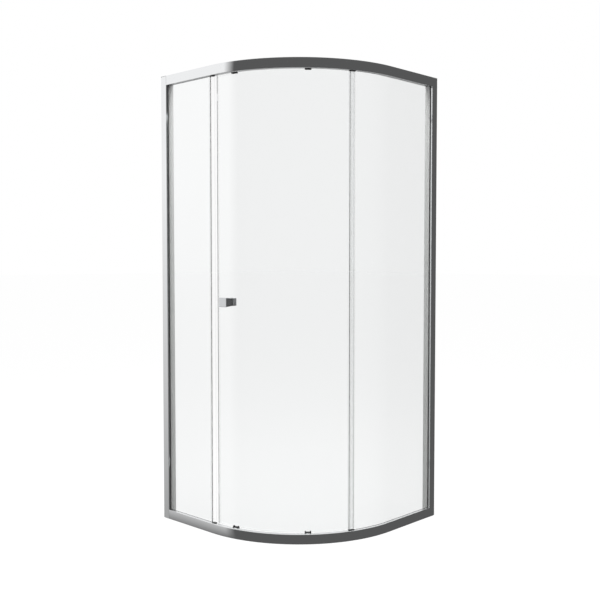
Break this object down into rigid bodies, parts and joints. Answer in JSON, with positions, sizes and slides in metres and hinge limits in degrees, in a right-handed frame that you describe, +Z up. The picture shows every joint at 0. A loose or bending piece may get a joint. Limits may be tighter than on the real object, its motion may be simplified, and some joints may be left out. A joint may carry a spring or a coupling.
{
  "type": "quadrant shower enclosure",
  "caption": "Curved corner shower enclosure with polished frame, clear fixed panes and a bent glass door that slides along the front arc on wheels.",
  "frame": {"origin": "bottom centre of the square footprint, at the underside of the bottom rail", "axes": "+Z up; the left wall is the plane X = -0.441, the right wall the plane Y = +0.441; the curved front faces +X and -Y"},
  "size_m": [0.882, 0.8938, 2],
  "materials": {
    "wall_channel": "drawn aluminium, darker than the uprights",
    "upright": "bright polished aluminium",
    "rail": "bright polished aluminium",
    "bead": "satin aluminium",
    "gasket": "dark flexible strip",
    "cap_plastic": "grey moulded plastic",
    "cover_plastic": "bright moulded covers",
    "block_plastic": "dark moulded plastic",
    "screw_steel": "stainless steel",
    "spring_steel": "spring steel wire",
    "axle_steel": "turned stainless steel",
    "glass": "clear toughened glass with ground edges",
    "seal_pvc": "clear flexible plastic",
    "clip_plastic": "dark moulded plastic",
    "stop_rubber": "black rubber",
    "knob_chrome": "bright chromed metal",
    "washer_plastic": "soft clear plastic",
    "carriage_plastic": "dark moulded plastic",
    "slider_plastic": "grey moulded plastic",
    "wheel_nylon": "white nylon"
  },
  "bodies": {
    "frame": {"bottom_rail": "rail", "channel_screws_left": "screw_steel", "channel_screws_right": "screw_steel", "corner_blocks": "block_plastic", "corner_screws": "screw_steel", "door_stop_closed": "stop_rubber", "door_stop_open": "stop_rubber", "edge_seal": "seal_pvc", "fixed_glass_left": "glass", "fixed_glass_right": "glass", "glazing_bead_left": "bead", "glazing_bead_right": "bead", "glazing_gasket_left": "gasket", "glazing_gasket_right": "gasket", "panel_clip_left_bottom": "clip_plastic", "panel_clip_left_top": "clip_plastic", "panel_clip_right_bottom": "clip_plastic", "panel_clip_right_top": "clip_plastic", "screw_covers_left": "cover_plastic", "screw_covers_right": "cover_plastic", "strike_seal": "seal_pvc", "top_rail": "rail", "upright_cap_left": "cap_plastic", "upright_cap_right": "cap_plastic", "upright_left": "upright", "upright_right": "upright", "wall_channel_left": "wall_channel", "wall_channel_right": "wall_channel"},
    "door": {"bottom_carriage_leading": "carriage_plastic", "bottom_carriage_trailing": "carriage_plastic", "bottom_spring_leading": "spring_steel", "bottom_spring_trailing": "spring_steel", "carriage_clamp_screws": "screw_steel", "door_glass": "glass", "door_magnetic_seal": "seal_pvc", "door_trailing_seal": "seal_pvc", "knob_bolt": "screw_steel", "knob_inner": "knob_chrome", "knob_outer": "knob_chrome", "knob_washers": "washer_plastic", "top_axle_leading": "axle_steel", "top_axle_trailing": "axle_steel", "top_carriage_leading": "carriage_plastic", "top_carriage_trailing": "carriage_plastic"},
    "slider_leading": {"bottom_slider_leading": "slider_plastic", "bottom_axle_leading": "axle_steel"},
    "lower_wheel_leading": {"bottom_wheel_leading": "wheel_nylon"},
    "upper_wheel_leading": {"top_wheel_leading": "wheel_nylon"},
    "slider_trailing": {"bottom_slider_trailing": "slider_plastic", "bottom_axle_trailing": "axle_steel"},
    "lower_wheel_trailing": {"bottom_wheel_trailing": "wheel_nylon"},
    "upper_wheel_trailing": {"top_wheel_trailing": "wheel_nylon"}
  },
  "joints": [
    {"name": "door_slide", "type": "hinge", "parent": "frame", "child": "door", "pos_m": [-0.1, 0.1, 0], "axis": [0, 0, 1], "range_deg": [0, 40]},
    {"name": "upper_wheel_spin_leading", "type": "hinge", "parent": "door", "child": "upper_wheel_leading", "pos_m": [0.00513, -0.39041, 1.9783], "axis": [-0.2096, 0.9778, 0], "range_deg": [-5, 1830]},
    {"name": "wheel_release_leading", "type": "slide", "parent": "door", "child": "slider_leading", "axis": [0, 0, 1], "range_m": [0, 0.006], "stiffness_N_per_m": 800, "springref_m": -0.004, "deforming": ["bottom_spring_leading"]},
    {"name": "lower_wheel_spin_leading", "type": "hinge", "parent": "slider_leading", "child": "lower_wheel_leading", "pos_m": [0.00523, -0.39085, 0.0188], "axis": [-0.2096, 0.9778, 0], "range_deg": [-5, 3095]},
    {"name": "upper_wheel_spin_trailing", "type": "hinge", "parent": "door", "child": "upper_wheel_trailing", "pos_m": [0.27155, -0.2369, 1.9783], "axis": [-0.7408, 0.6717, 0], "range_deg": [-5, 1830]},
    {"name": "wheel_release_trailing", "type": "slide", "parent": "door", "child": "slider_trailing", "axis": [0, 0, 1], "range_m": [0, 0.006], "stiffness_N_per_m": 800, "springref_m": -0.004, "deforming": ["bottom_spring_trailing"]},
    {"name": "lower_wheel_spin_trailing", "type": "hinge", "parent": "slider_trailing", "child": "lower_wheel_trailing", "pos_m": [0.27188, -0.2372, 0.0188], "axis": [-0.7408, 0.6717, 0], "range_deg": [-5, 3095]}
  ],
  "couplings": [
    {"joint": "upper_wheel_spin_leading", "follows": "door_slide", "ratio": 45.596},
    {"joint": "lower_wheel_spin_leading", "follows": "door_slide", "ratio": 77.231},
    {"joint": "upper_wheel_spin_trailing", "follows": "door_slide", "ratio": 45.596},
    {"joint": "lower_wheel_spin_trailing", "follows": "door_slide", "ratio": 77.231}
  ]
}
